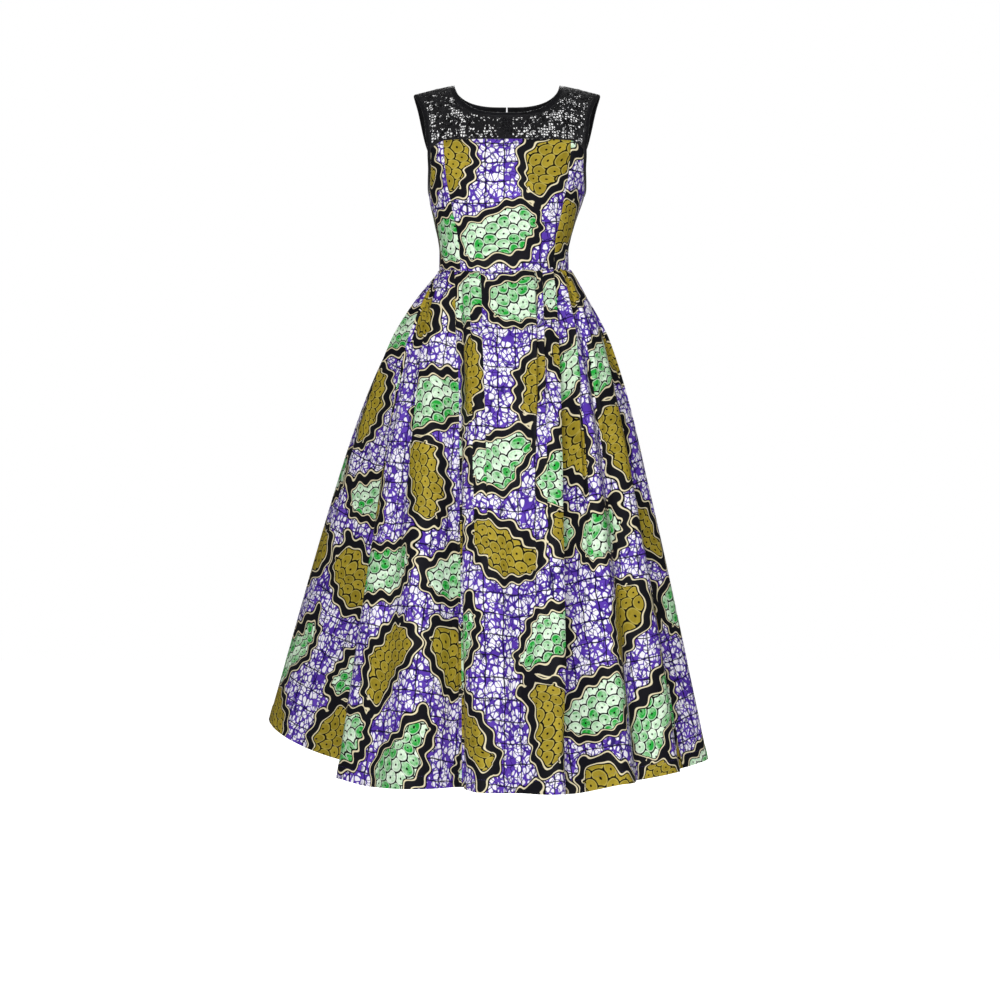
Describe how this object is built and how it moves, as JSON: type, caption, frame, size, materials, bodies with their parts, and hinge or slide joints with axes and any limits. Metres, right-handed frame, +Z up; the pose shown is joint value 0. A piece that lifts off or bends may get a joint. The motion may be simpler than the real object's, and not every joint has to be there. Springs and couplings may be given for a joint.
{
  "type": "ankara wax print dress",
  "caption": "Sleeveless fit-and-flare midi dress in wax print cotton with a black lace yoke, bound neck and armholes, and a concealed back zip.",
  "frame": {"origin": "midway between the two shoulder seams, at the height of the neck end of the shoulder line, where a wearer's shoulders carry the dress", "axes": "+Z up, -Y the way the wearer faces, +X the viewer's right when the front is seen"},
  "size_m": [0.7361, 0.5827, 1.1407],
  "materials": {
    "wax_print": "crisp wax print cotton: violet crackle ground with green and olive scaled islands edged in black",
    "lace": "black corded floral lace",
    "binding": "black bias binding",
    "zip_tape": "black woven tape",
    "zip_metal": "black enamel"
  },
  "bodies": {
    "dress": {"armhole_binding_left": "binding", "armhole_binding_right": "binding", "bodice_back_left": "wax_print", "bodice_back_right": "wax_print", "bodice_front": "wax_print", "bodice_side_back_left": "wax_print", "bodice_side_back_right": "wax_print", "bodice_side_front_left": "wax_print", "bodice_side_front_right": "wax_print", "neck_binding": "binding", "skirt_back_left": "wax_print", "skirt_back_right": "wax_print", "skirt_front": "wax_print", "skirt_side_back_left": "wax_print", "skirt_side_back_right": "wax_print", "skirt_side_front_left": "wax_print", "skirt_side_front_right": "wax_print", "yoke_back_left": "lace", "yoke_back_right": "lace", "yoke_front": "lace", "zip_slider": "zip_metal", "zip_tape": "zip_tape"},
    "pull_tab": {"zip_pull": "zip_metal"}
  },
  "joints": [
    {"name": "zip_pull_hinge", "type": "hinge", "parent": "dress", "child": "pull_tab", "pos_m": [0, 0.07095, -0.03872], "axis": [1, 0, 0], "range_deg": [0, 140]}
  ]
}
